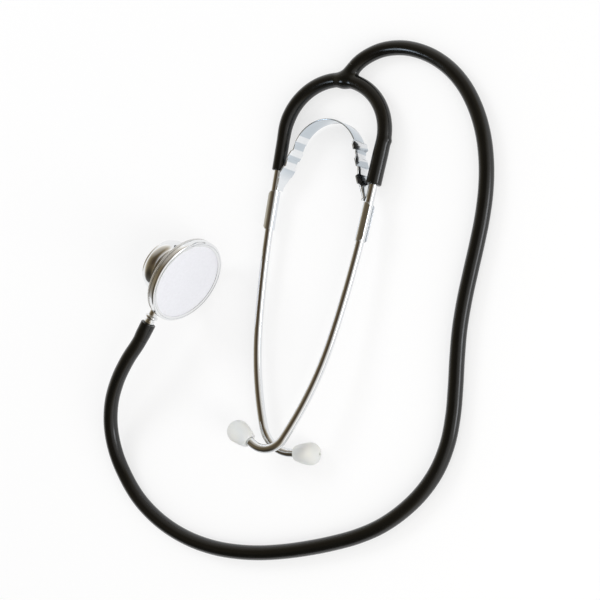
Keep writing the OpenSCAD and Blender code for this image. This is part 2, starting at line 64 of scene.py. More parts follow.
# %% Walk along a run of straight lengths and bends
def shift(x, y, z):
    return Matrix.Translation((x * MM, y * MM, z * MM))


def turn(degrees, axis):
    return Matrix.Rotation(math.radians(degrees), 4, axis)


def step_matrix(step, part):
    length, angle, roll = step
    if angle == 0:
        return shift(0, -length * part, 0)
    bend = shift(-length, 0, 0) @ turn(-angle * part, "Z") @ shift(length, 0, 0)
    return turn(roll, "Y") @ bend @ turn(-roll, "Y")


def walk(start, steps, spacing=1.0):
    """Places along a run, at most spacing millimetres apart."""
    places, here = [start.copy()], start.copy()
    for step in steps:
        size = step[0] if step[1] == 0 else step[0] * math.radians(step[1])
        count = max(1, math.ceil(size / spacing))
        places += [here @ step_matrix(step, i / count) for i in range(1, count + 1)]
        here = here @ step_matrix(step, 1.0)
    return places


# %% Sizes of the headset, as in the CAD, in millimetres and degrees
SIDES = ("left", "right")
HEAD_X, ARCH_Y, HEAD_Z, LIFT = 30.2, 68.0, 6.1, 0.05
ARCH_R, FORK_ANGLE, LEG_LEAN, LEVEL_R = 30.5, 25.0, 1.0, 30.0
TUBE_R, EAR_R, PUSH_IN = 4.0, 2.4, 17.0
STUB_ROOT_R, STUB_LEN, STUB_TURN = 4.8, 10.0, 32.0
RISE = {"left": 0.0, "right": 4.4}
LEG = {"left": 22.0, "right": 23.5}
BOW, CLOSE = [640.0, 6.0, 0], [190.0, 16.0, 0]
END_BEND = {"left": [[1.0, 0, 0], [18.0, 76.0, 0]], "right": [[4.5, 0, 0], [13.0, 92.0, 0]]}
EAR_STRAIGHT, EAR_END = 41.0, 12.0
# The arch slopes by so much that the root of its stub comes down to the table.
SLOPE = math.degrees(math.asin((HEAD_Z - STUB_ROOT_R - LIFT) / ARCH_R))
ARCH = shift(HEAD_X, ARCH_Y, HEAD_Z) @ turn(-SLOPE, "X")


# %% Runs of the arms and the ear tubes
def arm_walk(side, spacing=1.0):
    level = RISE[side] - SLOPE
    bend = LEVEL_R * math.radians(abs(level))
    steps = [[ARCH_R, 90 + LEG_LEAN - FORK_ANGLE, 0],
             [LEVEL_R, abs(level), math.copysign(90, level)], [LEG[side] - bend, 0, 0]]
    start = turn(-FORK_ANGLE, "Z") @ shift(0, ARCH_R, 0) @ turn(90, "Z")
    places = walk(start, steps, spacing)
    if side == "left":
        places = [Matrix.Diagonal((-1, 1, 1, 1)) @ place for place in places]
    return [ARCH @ place for place in places]


def ear_walk(side):
    steps = [[EAR_STRAIGHT - LEG[side] + PUSH_IN, 0, 0], BOW, CLOSE,
             *END_BEND[side], [EAR_END, 0, 0]]
    return walk(arm_ends[side] @ shift(0, PUSH_IN, 0), steps, spacing=0.8)


arm_ends = {side: arm_walk(side)[-1] for side in SIDES}
ear_walks = {side: ear_walk(side) for side in SIDES}
for side in SIDES:
    print(side, "ear tube ends at", [round(v / MM, 1) for v in ear_walks[side][-1].translation])

# %% [markdown]
# ## The camera and the free hose
# The camera stands 30 degrees off the vertical, as in the photograph. The hose is a cord: its
# length is fixed, so its route comes first. It is a tube swept along one smooth line through listed
# points, the same as in the CAD.

# %% Camera
scene = bpy.context.scene
CAMERA_FAR = 0.9
VIEW_RIGHT = Vector((0.8545, 0.1752, -0.4891)).normalized()
VIEW_BACK = Vector((0.4996, -0.0192, 0.8660)).normalized()
VIEW_UP = VIEW_BACK.cross(VIEW_RIGHT).normalized()
VIEW_RIGHT = VIEW_UP.cross(VIEW_BACK)
AIM = Vector((0.02416, -0.02189, 0.0))
camera = bpy.data.objects.new("camera", bpy.data.cameras.new("camera"))
camera.data.lens, camera.data.sensor_width, camera.data.clip_start = 100, 36, 0.05
camera.matrix_world = Matrix([
    (right, up, back, aim + CAMERA_FAR * back)
    for right, up, back, aim in zip(VIEW_RIGHT, VIEW_UP, VIEW_BACK, AIM)] + [(0, 0, 0, 1)])
scene.collection.objects.link(camera)
scene.camera = camera
print("camera at", [round(v, 3) for v in camera.matrix_world.translation])

# %% Place of the chestpiece: Z leaves the diaphragm, X runs along the stem
CHEST_X, CHEST_Y, CHEST_LEAN, CHEST_AZIMUTH, STEM_DROP = -43.5, -18.5, 5.0, -22.0, 3.0
RING_R, RING_BACK, RING_H = 24.6, 8.5, 3.1
HOSE_AT, CUFF_LEN = 32.7, 10.0
lean = math.radians(CHEST_LEAN)
CHEST_Z = RING_R * math.cos(lean) - RING_BACK * math.sin(lean)
CHEST = (shift(CHEST_X, CHEST_Y, CHEST_Z) @ turn(CHEST_AZIMUTH, "Z")
         @ turn(90 - CHEST_LEAN, "Y") @ turn(STEM_DROP - 90, "Z"))
STEM = CHEST @ turn(90, "Y")
print("chestpiece's middle is", round(CHEST_Z, 1), "mm above the table")

# %% Route of the hose: it lies on the table, and rises to the chestpiece
LIE = TUBE_R + LIFT
lying = [
    (46.2, 115.2), (60.3, 118.4), (74.8, 116.6), (88.2, 110.9), (99.7, 102.0), (108.8, 90.6),
    (115.6, 77.7), (120.1, 63.8), (122.6, 49.5), (123.4, 34.9), (123.0, 20.3), (122.2, 5.7),
    (121.6, -8.9), (121.8, -23.5), (123.2, -38.0), (125.1, -52.5), (126.5, -67.0),
    (126.2, -81.6), (123.0, -95.8), (116.6, -108.9), (107.7, -120.4), (97.0, -130.3),
    (84.7, -138.2), (71.6, -144.5), (58.1, -150.0), (44.3, -154.8), (30.2, -158.7),
    (15.8, -161.3), (1.3, -162.4), (-13.3, -161.6), (-27.6, -158.7), (-41.2, -153.6),
    (-53.8, -146.2)]
rising = [(-64.5, -136.4, 4.3), (-72.6, -124.5, 6.3), (-77.0, -111.0, 9.4),
          (-76.7, -97.1, 13.6), (-72.6, -83.7, 17.6), (-66.3, -70.9, 20.5)]
route = [(x, y, LIE) for x, y in lying] + rising
print("hose route:", len(route), "points")


# %% A smooth line through the points of a route
def smooth_line(points, pieces, first, last):
    """first and last are the directions in which the line leaves and arrives."""
    points = [np.array(p) for p in points]
    before = points[1] - 2 * np.linalg.norm(points[1] - points[0]) * np.array(first)
    after = points[-2] + 2 * np.linalg.norm(points[-1] - points[-2]) * np.array(last)
    ends, line = [before, *points, after], []
    for a, b, c, d in zip(ends, ends[1:], ends[2:], ends[3:]):
        for t in np.arange(pieces) / pieces:
            line.append(0.5 * ((2 * b) + (c - a) * t + (2 * a - 5 * b + 4 * c - d) * t * t
                               + (3 * b - a - 3 * c + d) * t ** 3))
    return line + [points[-1]]


def frames_along(line):
    """Frames whose -Y follows the line, each turned as little as it can be."""
    last = len(line) - 1
    ahead = [(line[min(i + 1, last)] - line[max(i - 1, 0)]).normalized() for i in range(last + 1)]
    across = ahead[0].cross(Vector((0, 0, 1))).normalized()
    places = []
    for point, t in zip(line, ahead):
        across = (across - t * across.dot(t)).normalized()
        up = across.cross(-t)
        places.append(Matrix([*zip(across, -t, up, point), (0, 0, 0, 1)]))
    return places


# %% Line of the hose
stub_heading = ARCH @ shift(0, ARCH_R, 0) @ turn(-STUB_TURN, "Z")
stub_end = (stub_heading @ shift(0, STUB_LEN - 1, 0)).translation
cuff_end = (STEM @ shift(0, 0, HOSE_AT + CUFF_LEN)).translation
hose_points = [stub_end, *[Vector(p) * MM for p in route], cuff_end]
stub_axis = (stub_heading.to_3x3() @ Vector((0, 1, 0))).normalized()
stem_axis = (STEM.to_3x3() @ Vector((0, 0, 1))).normalized()
hose_line = [Vector(p) for p in smooth_line(hose_points, 6, stub_axis, -stem_axis)]


# %% [markdown]
# ## Two makers of smooth meshes
# Almost everything here is either swept along a line or turned on a lathe.
# One function joins rings of points into a closed skin, and the sweep and the
# lathe only say where the rings are. The skin also gets a UV map, whose V is
# the length along it in metres, for a finish that changes on the way.

# %% Object with smooth faces
def add_object(name, mesh, sharp=40):
    """An object with smooth faces, creased where they meet at more than sharp degrees."""
    for polygon in mesh.polygons:
        polygon.use_smooth = True
    mesh.set_sharp_from_angle(angle=math.radians(sharp))
    piece = bpy.data.objects.new(name, mesh)
    scene.collection.objects.link(piece)
    return piece


# %% Skin
def skin(name, rings, closed=False, sharp=40):
    """Joins rings of equally many points. A closed skin also joins its last ring to its first."""
    count, sides = len(rings), len(rings[0])
    points = [tuple(p) for ring in rings for p in ring]
    faces, uvs = [], []
    along = np.zeros(count + 1)
    for i in range(count):
        gap = np.linalg.norm(np.array(rings[(i + 1) % count][0]) - np.array(rings[i][0]))
        along[i + 1] = along[i] + gap
    for i in range(count if closed else count - 1):
        below = (i + 1) % count
        for j in range(sides):
            k = (j + 1) % sides
            faces.append((i * sides + j, i * sides + k, below * sides + k, below * sides + j))
            u0, u1 = j / sides, (j + 1) / sides
            uvs.append(((u0, along[i]), (u1, along[i]), (u1, along[i + 1]), (u0, along[i + 1])))
    if not closed:
        faces.append(tuple(range(sides))[::-1])
        faces.append(tuple((count - 1) * sides + j for j in range(sides)))
        uvs += [tuple((0.5, 0.0) for _ in range(sides))] * 2
    mesh = bpy.data.meshes.new(name)
    mesh.from_pydata(points, [], faces)
    layer = mesh.uv_layers.new(name="along")
    layer.data.foreach_set("uv", np.array([c for face in uvs for c in face]).ravel())
    work = bmesh.new()
    work.from_mesh(mesh)
    bmesh.ops.recalc_face_normals(work, faces=work.faces)
    work.to_mesh(mesh)
    work.free()
    return add_object(name, mesh, sharp)


# %% Sweep and lathe
def sweep(name, places, radii, sides=32, sharp=40):
    """A bar along places, with one radius in millimetres for each."""
    angles = np.linspace(0, 2 * math.pi, sides, endpoint=False)
    rings = [[place @ Vector((r * MM * math.cos(a), 0, r * MM * math.sin(a))) for a in angles]
             for place, r in zip(places, radii)]
    return skin(name, rings, sharp=sharp)


def lathe(name, profile, place, segments=128, sharp=30):
    """Turns a closed profile of (radius, height) in millimetres round the place's Z."""
    angles = np.linspace(0, 2 * math.pi, segments, endpoint=False)
    rings = [[place @ Vector((r * MM * math.cos(a), r * MM * math.sin(a), z * MM))
              for r, z in profile] for a in angles]
    return skin(name, rings, closed=True, sharp=sharp)


def arc(centre, radius, start, end, steps):
    return [(centre[0] + radius * math.cos(math.radians(a)),
             centre[1] + radius * math.sin(math.radians(a)))
            for a in np.linspace(start, end, steps + 1)]


# %% Cut a mesh, and take what its modifiers end in
def cut_off(work, place, outwards):
    """Cuts away what lies beyond a plane, and closes the cut."""
    everything = work.verts[:] + work.edges[:] + work.faces[:]
    cut = bmesh.ops.bisect_plane(work, geom=everything, plane_co=place, plane_no=outwards,
                                 clear_outer=True)
    rim = [e for e in cut["geom_cut"] if isinstance(e, bmesh.types.BMEdge)]
    bmesh.ops.holes_fill(work, edges=rim, sides=0)


def final_mesh(piece):
    """A plain mesh of what a piece's modifiers make of it."""
    view = bpy.context.evaluated_depsgraph_get()
    return bpy.data.meshes.new_from_object(piece.evaluated_get(view))


# %% [markdown]
# ## Materials
# A colour is written as the hex value that a screen shows, and one function
# turns it to the linear light that a shader works in. One more function adds
# a node, its settings and its links, and each material is a short list of them.

# %% Colours
def linear(code):
    parts = [int(code[i:i + 2], 16) / 255 for i in (1, 3, 5)]
    return (*[c / 12.92 if c <= 0.04045 else ((c + 0.055) / 1.055) ** 2.4 for c in parts], 1.0)


# %% Nodes and the stops of a ramp
def add(tree, kind, values=None, links=None, **settings):
    """values and links go by the names of the node's inputs, settings are its own."""
    new = tree.nodes.new(kind)
    for name, value in settings.items():
        setattr(new, name, value)
    for name, value in (values or {}).items():
        new.inputs[name].default_value = value
    for name, socket in (links or {}).items():
        tree.links.new(socket, new.inputs[name])
    return new


def set_stops(ramp, stops):
    """Gives a colour ramp its stops, each a position and a hex value, in rising order."""
    elements = ramp.color_ramp.elements
    for element, (position, code) in zip(elements[:], (stops[0], stops[-1])):
        element.position, element.color = position, linear(code)
    for position, code in stops[1:-1]:
        elements.new(position).color = linear(code)


# %% Start of a material
def material(name, values):
    """A new material with its node tree, its shader and the place in the object."""
    new = bpy.data.materials.new(name)
    new.use_nodes = True
    tree = new.node_tree
    shader = tree.nodes["Principled BSDF"]
    for key, value in values.items():
        shader.inputs[key].default_value = value
    place = add(tree, "ShaderNodeTexCoord")
    return new, tree, shader, place.outputs["Object"]


def per_mm(size):
    """Scale of a noise whose features are about this many millimetres."""
    return 1.0 / (size * MM)


# %% [markdown]
# ### Extruded PVC tubing
# The tubing is soft PVC, filled black and drawn through a die, with a smooth,
# slightly oily gloss. It reads as black with narrow highlights. Its skin is
# never quite even: faint flow waves a few millimetres long soften the
# highlight, and dust dulls it in patches.

# %% PVC
pvc, tree, shader, spot = material("extruded_black_pvc", {
    "Base Color": linear("#0c0c0a"), "Roughness": 0.2, "IOR": 1.53})
haze = add(tree, "ShaderNodeTexNoise", {"Scale": per_mm(9), "Detail": 3.0}, {"Vector": spot})
shine = add(tree, "ShaderNodeMapRange",
            {"From Min": 0.35, "From Max": 0.7, "To Min": 0.16, "To Max": 0.26},
            {"Value": haze.outputs["Fac"]})
tree.links.new(shine.outputs["Result"], shader.inputs["Roughness"])
flow = add(tree, "ShaderNodeTexNoise", {"Scale": per_mm(4), "Detail": 2.0}, {"Vector": spot})
grain = add(tree, "ShaderNodeTexNoise", {"Scale": per_mm(0.35), "Detail": 2.0}, {"Vector": spot})
faint = add(tree, "ShaderNodeMath", {1: 0.12}, {0: grain.outputs["Fac"]}, operation="MULTIPLY")
total = add(tree, "ShaderNodeMath", None, {0: flow.outputs["Fac"], 1: faint.outputs[0]},
            operation="ADD")
bump = add(tree, "ShaderNodeBump", {"Strength": 0.12, "Distance": 0.12 * MM},
           {"Height": total.outputs[0]})
tree.links.new(bump.outputs["Normal"], shader.inputs["Normal"])


# %% [markdown]
# ### Chromium plate
# The ear tubes, spring and chestpiece are nickel-chromium plated and buffed.
# Clean plate is a mirror with a trace of blue, and what one sees is the room:
# white table, dark ceiling. Buffing leaves hair-fine scratches, and handling
# leaves a slight haze, so roughness varies over some millimetres.

# %% Chrome for tube, casting and spring
def plate(name, colour, smooth, hazy, wave):
    """smooth and hazy are the least and most roughness, wave the ripple's size in mm."""
    new, tree, shader, spot = material(name, {
        "Base Color": linear(colour), "Metallic": 1.0, "Roughness": smooth})
    cloud = add(tree, "ShaderNodeTexNoise", {"Scale": per_mm(6), "Detail": 4.0}, {"Vector": spot})
    shine = add(tree, "ShaderNodeMapRange",
                {"From Min": 0.4, "From Max": 0.75, "To Min": smooth, "To Max": hazy},
                {"Value": cloud.outputs["Fac"]})
    tree.links.new(shine.outputs["Result"], shader.inputs["Roughness"])
    ripple = add(tree, "ShaderNodeTexNoise", {"Scale": per_mm(wave), "Detail": 1.0},
                 {"Vector": spot})
    fine = add(tree, "ShaderNodeTexNoise", {"Scale": per_mm(0.25), "Detail": 3.0},
               {"Vector": spot})
    faint = add(tree, "ShaderNodeMath", {1: 0.03}, {0: fine.outputs["Fac"]}, operation="MULTIPLY")
    total = add(tree, "ShaderNodeMath", None, {0: ripple.outputs["Fac"], 1: faint.outputs[0]},
                operation="ADD")
    bump = add(tree, "ShaderNodeBump", {"Strength": 0.2, "Distance": 0.1 * MM},
               {"Height": total.outputs[0]})
    tree.links.new(bump.outputs["Normal"], shader.inputs["Normal"])
    return new


tube_chrome = plate("chromium_plated_tube", "#e8eaec", 0.05, 0.12, 7)
cast_chrome = plate("buffed_chromium_casting", "#ecedee", 0.05, 0.11, 5)
spring_chrome = plate("plated_spring_steel", "#e6eaee", 0.09, 0.18, 4)
strip_chrome = plate("pressed_spring_strip", "#e6eaee", 0.09, 0.18, 4)

# %% [markdown]
# The crown and every other facet of the spring's legs are painted a darker tone, and the facets
# between them a lighter one. This is painted shade and painted highlight, standing in for how the
# differently angled facets catch the light. The strip's own material follows the piece's UV map,
# whose V runs along the strip in metres, so the painted bands lie exactly on the facets. Each
# band's edge is a pair of stops close together, which keeps it crisp.

# %% Pressed strip with painted shade and highlight bands: its facets' edges are in millimetres from its top
STRIP_RUN, EDGE_BLUR = 50, 0.006
FACET_EDGES = (21.6, 25.3, 29.6, 33.9, 38.2, 42.5)
# Painted shade and painted highlight: the two tones that alternate down the strip.
PAINTED_SHADE_TONE, PAINTED_LIGHT_TONE, SEAT_TONE = "#cdd5dc", "#f2f4f6", "#eef1f4"
tree = strip_chrome.node_tree
along_strip = add(tree, "ShaderNodeSeparateXYZ", None, {
    "Vector": add(tree, "ShaderNodeUVMap", uv_map="along").outputs["UV"]})
down = add(tree, "ShaderNodeMath", {1: 1 / (STRIP_RUN * MM)}, {0: along_strip.outputs["Y"]},
           operation="MULTIPLY")
painted_bands = add(tree, "ShaderNodeValToRGB", None, {"Fac": down.outputs[0]})
painted_band_stops = [(0.0, PAINTED_SHADE_TONE)]
for i, edge in enumerate(FACET_EDGES):
    before, after = (PAINTED_SHADE_TONE, PAINTED_LIGHT_TONE) if i % 2 == 0 else (PAINTED_LIGHT_TONE, PAINTED_SHADE_TONE)
    painted_band_stops += [(edge / STRIP_RUN - EDGE_BLUR, before), (edge / STRIP_RUN + EDGE_BLUR, after)]
set_stops(painted_bands, [*painted_band_stops, (1.0, SEAT_TONE)])
tree.links.new(painted_bands.outputs["Color"], tree.nodes["Principled BSDF"].inputs["Base Color"])

# %% [markdown]
# ### Soft PVC ear tips, resin diaphragm and nitrile seal
# The ear tips are moulded in unfilled soft PVC: milky, light goes a few
# millimetres in. The diaphragm is a disc of glass-filled epoxy: matte, cool
# white and faintly mottled by its fibres. The seal is plain black nitrile.

# %% Tints in patches, and pores
def mottle(tree, shader, spot, patches, tints, pores, strength):
    """patches and pores each give a noise's size in millimetres and its detail."""
    cloud, fine = [add(tree, "ShaderNodeTexNoise", {"Scale": per_mm(size), "Detail": detail},
                       {"Vector": spot}) for size, detail in (patches, pores)]
    tint = add(tree, "ShaderNodeValToRGB", None, {"Fac": cloud.outputs["Fac"]})
    set_stops(tint, [(0.3, tints[0]), (0.7, tints[1])])
    tree.links.new(tint.outputs["Color"], shader.inputs["Base Color"])
    bump = add(tree, "ShaderNodeBump", {"Strength": strength, "Distance": 0.05 * MM},
               {"Height": fine.outputs["Fac"]})
    tree.links.new(bump.outputs["Normal"], shader.inputs["Normal"])


# %% Tips and diaphragm
milky, *inside = material("milky_soft_pvc", {
    "Base Color": linear("#dededb"), "Roughness": 0.42, "IOR": 1.5, "Subsurface Weight": 0.5,
    "Subsurface Radius": (1.0, 1.0, 0.85), "Subsurface Scale": 3 * MM})
mottle(*inside, patches=(11, 1.0), tints=("#d9dcdc", "#e5e4df"), pores=(0.3, 2.0), strength=0.08)
resin, *inside = material("glass_filled_epoxy", {
    "Base Color": linear("#e9eaef"), "Roughness": 0.5, "IOR": 1.5})
mottle(*inside, patches=(1.5, 5.0), tints=("#e6e7ed", "#ebecf2"), pores=(0.4, 3.0), strength=0.1)

# %% Seal
nitrile, tree, shader, spot = material("moulded_nitrile", {
    "Base Color": linear("#171717"), "Roughness": 0.55, "IOR": 1.52})
cloud = add(tree, "ShaderNodeTexNoise", {"Scale": per_mm(1), "Detail": 2.0}, {"Vector": spot})
bump = add(tree, "ShaderNodeBump", {"Strength": 0.2, "Distance": 0.05 * MM},
           {"Height": cloud.outputs["Fac"]})
tree.links.new(bump.outputs["Normal"], shader.inputs["Normal"])
print("materials:", [m.name for m in bpy.data.materials if m.use_nodes])


# %% [markdown]
# ## Dressing a piece
# Every finished piece gets its material, rides on a body if it is given one, and stands for the CAD
# solids it replaces.

# %% Dress a piece
def dress(piece, surface, body=None, stands_for=()):
    piece.data.materials.clear()
    piece.data.materials.append(surface)
    if body:
        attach(piece, body)
    if stands_for:
        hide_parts(*stands_for)
    print(piece.name, len(piece.data.vertices), "vertices")


# %% [markdown]
# ## The hose
# On the real instrument hose, arms and Y are one piece of tubing. A curve with
# a round bevel would do for the hose, but a swept mesh also gives the exact
# ring where it leaves the Y, so the seam between the two can't be seen.

# %% Hose
hose = sweep("hose", frames_along(hose_line), [TUBE_R] * len(hose_line))
dress(hose, pvc, "core", ["main_tube"])


# %% [markdown]
# ## The Y
# The two arms and the hose meet in a moulded Y with a soft web between them.
# A boolean would leave a hard crease there. Instead the bars are joined by a
# voxel remesh, and each vertex is then moved onto a smooth blend of the two
# distance fields, so the bars keep their exact radius away from the web.

# %% Distances of the Y's bars, in the arch's plane
WEB, STUB_SWELL, STUB_REACH = 2.4, 0.5, 30.0
stub_angle = math.radians(STUB_TURN)
stub_way = np.array([math.sin(stub_angle), math.cos(stub_angle), 0.0])


def y_surface(p):
    """How far each point lies outside the Y, in millimetres. WEB is the blend's width."""
    ring = np.hypot(np.hypot(p[:, 0], p[:, 1]) - ARCH_R, p[:, 2]) - TUBE_R
    base = p - np.array([0.0, ARCH_R, 0.0])
    t = np.clip(base @ stub_way, 0.0, STUB_REACH)
    swell = np.clip(1 - t / (STUB_LEN - 1), 0, 1) ** 2
    bar = np.linalg.norm(base - t[:, None] * stub_way, axis=1) - (TUBE_R + STUB_SWELL * swell)
    h = np.maximum(WEB - np.abs(ring - bar), 0) / WEB
    return np.minimum(ring, bar) - h * h * WEB / 4


# %% Rough Y: both bars, a little too long, as one voxel mesh
ARCH_SPAN, VOXEL = 29, 0.5
arch_places = [turn(90 - a, "Z") @ shift(ARCH_R, 0, 0)
               for a in np.linspace(-ARCH_SPAN, ARCH_SPAN, 60)]
stub_places = [shift(0, ARCH_R, 0) @ turn(-STUB_TURN, "Z") @ shift(0, y, 0)
               for y in np.linspace(-1, 12, 20)]
bars = [sweep(name, places, [TUBE_R] * len(places), sides=40)
        for name, places in (("arch_bar", arch_places), ("stub_bar", stub_places))]
work = bmesh.new()
for bar in bars:
    work.from_mesh(bar.data)
rough_mesh = bpy.data.meshes.new("y_rough")
work.to_mesh(rough_mesh)
work.free()
rough = add_object("y_rough", rough_mesh)
remesh = rough.modifiers.new("voxels", "REMESH")
remesh.mode, remesh.voxel_size = "VOXEL", VOXEL * MM
y_mesh = final_mesh(rough)
for used in (*bars, rough):
    bpy.data.objects.remove(used)
print("rough Y:", len(y_mesh.vertices), "vertices")

# %% Each vertex slides down the slope of the distance, onto the surface
NUDGE, PASSES, LEAST_SLOPE = 0.01, 6, 0.25
spots = np.zeros(len(y_mesh.vertices) * 3)
y_mesh.vertices.foreach_get("co", spots)
spots = spots.reshape(-1, 3) / MM
for _ in range(PASSES):
    value = y_surface(spots)
    slope = np.stack([y_surface(spots + step) - y_surface(spots - step)
                      for step in np.eye(3) * NUDGE], axis=1) / (2 * NUDGE)
    spots -= (value / np.maximum((slope ** 2).sum(axis=1), LEAST_SLOPE))[:, None] * slope
y_mesh.vertices.foreach_set("co", (spots * MM).ravel())
print("furthest vertex is off by", round(float(np.abs(y_surface(spots)).max()), 4), "mm")

# %% Cut the Y's three ends square
work = bmesh.new()
work.from_mesh(y_mesh)
ends = [((0, 0, 0), turn(way * -FORK_ANGLE, "Z") @ Vector((way, 0, 0))) for way in (-1, 1)]
ends.append((stub_places[0] @ Vector((0, STUB_LEN * MM, 0)), Vector(stub_way)))
for place, outwards in ends:
    cut_off(work, place, outwards)
bmesh.ops.transform(work, matrix=ARCH, verts=work.verts)
bmesh.ops.recalc_face_normals(work, faces=work.faces)
work.to_mesh(y_mesh)
work.free()
y_mesh.name = "moulded_y"
dress(add_object("moulded_y", y_mesh, sharp=50), pvc, "core", ["y_fork"])

# %% [markdown]
# ## The arms
# Each arm is plain tubing as far as the ear tube that is pushed up inside it. From there the left
# arm narrows to its end and the right one widens a little, as each was stretched, and the hidden
# end of the right ear tube shows as an elbow on the outer side. A sweep gives the changing radius,
# and its vertices are then pushed out at the elbow.

# %% Sizes of the arms
ARM_END_R = {"left": 3.6, "right": 4.2}
ARM_TAPER = {"left": 12.0, "right": 10.0}
ELBOW = {"left": 0.0, "right": 0.6}
ELBOW_AT, ELBOW_RUN, MOUTH_RUN = 24.5, 1.3, 0.75


def arm_mouth(end_r):
    """The rounded end and the step in to the ear tube, as pairs of distance back and radius."""
    return ((0.7, end_r), (0.4, end_r - 0.08), (0.15, end_r - 0.28), (0.0, end_r - 0.7),
            (0.0, EAR_R + 0.02), (0.6, EAR_R - 0.15))


# %% Arms
def arm_piece(side):
    places, end, end_r = arm_walk(side, 0.6), arm_ends[side], ARM_END_R[side]
    gaps = [(b.translation - a.translation).length / MM for a, b in zip(places, places[1:])]
    path = np.concatenate([[0], np.cumsum(gaps)])
    left = path[-1] - path
    run = PUSH_IN + ARM_TAPER[side] - left
    radii = TUBE_R + (end_r - TUBE_R) * np.clip(run / ARM_TAPER[side], 0, 1)
    stations = [(p, r) for p, r, back in zip(places, radii, left) if back > MOUTH_RUN]
    stations += [(end @ shift(0, back, 0), r) for back, r in arm_mouth(end_r)]
    piece = sweep(f"arm_{side}_tube", *zip(*stations), sides=40, sharp=60)
    seen_from_end = end.inverted()
    for vertex in piece.data.vertices:
        x, y, _ = (seen_from_end @ vertex.co) / MM
        push = ELBOW[side] * math.exp(-((y - ELBOW_AT) / ELBOW_RUN) ** 2) * max(x / end_r, 0) ** 2
        vertex.co += end.to_3x3() @ Vector((push * MM, 0, 0))
    dress(piece, pvc, None, [f"arm_{side}"])
    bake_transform(piece)


for side in SIDES:
    arm_piece(side)

# %% [markdown]
# ## Ear tubes and ear tips
# The ear tubes are brass tube, bent cold and plated, so they are one smooth
# sweep. The tips are soft and screw on: an egg shape with a round nose and a
# small hole, narrowing to a skirt whose mouth closes round the ear tube. A
# lathe profile gives the wall its real thickness, with the nipple's room in it.

# %% Ear tubes
for side in SIDES:
    tube = sweep(f"ear_tube_{side}_bent", ear_walks[side], [EAR_R] * len(ear_walks[side]))
    dress(tube, tube_chrome, f"{side}_binaural", [f"ear_tube_{side}"])

# %% Ear tips
TIP_R, TIP_LEN, SKIRT_R, HOLE_R, NIPPLE_R, NIPPLE_LEN = 6.1, 15.0, 4.2, 0.9, 3.2, 7.0
NOSE_GAP, SKIRT_RUN, ROOM_R = 0.6, 1.6, NIPPLE_R + 0.05
SKIRT_BACK = NIPPLE_LEN + NOSE_GAP + SKIRT_RUN
mouth = [(ROOM_R, 1.5), (EAR_R + 0.12, 1.1), (EAR_R + 0.1, 0.4), (EAR_R + 0.35, 0.0),
         (SKIRT_R - 0.9, 0.0)]
egg = [(SKIRT_R + out, up) for out, up in (
    (-0.5, 0.08), (-0.15, 0.4), (0.15, 1.1), (0.62, 2.6), (1.12, 4.3), (1.5, 6.0), (1.78, 7.6))]
nose = arc((0, TIP_LEN - TIP_R), TIP_R, -3, 79, 28)
hole = [(HOLE_R + 0.1, TIP_LEN - 0.5), (HOLE_R, TIP_LEN - 1.1), (HOLE_R, SKIRT_BACK + 0.6),
        (ROOM_R, SKIRT_BACK + 0.55)]
for side in SIDES:
    place = ear_walks[side][-1] @ shift(0, SKIRT_BACK, 0) @ turn(90, "X")
    tip = lathe(f"ear_tip_{side}_moulded", mouth + egg + nose + hole, place, segments=96)
    dress(tip, milky, f"{side}_tip", [f"ear_tip_{side}"])

# %% [markdown]
# ## The leaf spring
# One strip of spring steel joins the ear tubes. Its crown is a round bow, four facets are pressed
# into each leg, and each end narrows and is folded round its ear tube. The press and years of use
# have twisted the facets by some degrees, each its own way. The strip is drawn as a line of
# stations, each with a twist and a width, that a rounded section follows. It is made as two pieces
# that meet at the top.

# %% Place of the leaf spring
STRIP_W, STRIP_T, SEAT_W, STRIP_CORNER = 11.0, 0.7, 6.2, 0.33
CROWN_R, CROWN_DROP, CROWN_END = 20.0, 12.5, 28
CLIP_DROP, CLIP_LEN, CLIP_GAP, SEAT_RUN, SEAT_GAP = 33.5, 21.0, 0.3, 2.4, 0.05
level_len = LEVEL_R * math.radians(RISE["right"] - SLOPE)
clip_rise = ((CLIP_DROP - level_len) * math.sin(math.radians(RISE["right"]))
             + level_len * math.sin(math.radians((RISE["right"] + SLOPE) / 2)))
leg_in = CLIP_DROP * math.sin(math.radians(LEG_LEAN))
clip_x = ARCH_R - leg_in - EAR_R - STRIP_T / 2 - SEAT_GAP
SPRING = (shift(HEAD_X, ARCH_Y, HEAD_Z + clip_rise / 2)
          @ turn(-math.degrees(math.atan(clip_rise / (2 * clip_x))), "Y"))
print("spring's ends are", round(2 * clip_x, 1), "mm apart")

# %% Line of the leaf spring
STEP, FACETS, FACET_FROM, FACET_TO = 0.6, 4, 0.13, 0.77
crown = arc((0, -CROWN_DROP), CROWN_R, 90, CROWN_END + 3, 59)
leg_top = np.array(arc((0, -CROWN_DROP), CROWN_R, 90, CROWN_END, 1)[-1])
seat_top = np.array((clip_x, SEAT_RUN - CLIP_DROP))
legs = [tuple(leg_top)]
for i in range(FACETS + 1):
    down = FACET_FROM + (FACET_TO - FACET_FROM) * i / FACETS
    legs.append(tuple(leg_top * (1 - down) + seat_top * down + (STEP * (0.5 - i % 2), 0)))
legs += [tuple(seat_top), (clip_x, CLIP_GAP - CLIP_DROP)]

# %% Stations down one half of the spring
FACET_TWIST = {"left": (0, 4, -6, 4, -6, 0, 0), "right": (17, 0, 8, -3, 15, 2, 0)}
NARROW_RUN, NARROW_PAST = 8, 1.0


def spring_stations(side):
    """Points down one half, each with the twist and the width of the strip there."""
    stations = [(p, 0.0, STRIP_W) for p in crown]
    for a, b, twist in zip(legs, legs[1:], FACET_TWIST[side]):
        for t in (0.07, 0.5, 0.93):
            p = (a[0] + (b[0] - a[0]) * t, a[1] + (b[1] - a[1]) * t)
            near = min(max((p[1] - seat_top[1] + NARROW_PAST) / NARROW_RUN, 0), 1)
            width = SEAT_W + (STRIP_W - SEAT_W) * near * near * (3 - 2 * near)
            stations.append((p, twist, width))
    return stations + [(legs[-1], 0.0, SEAT_W)]


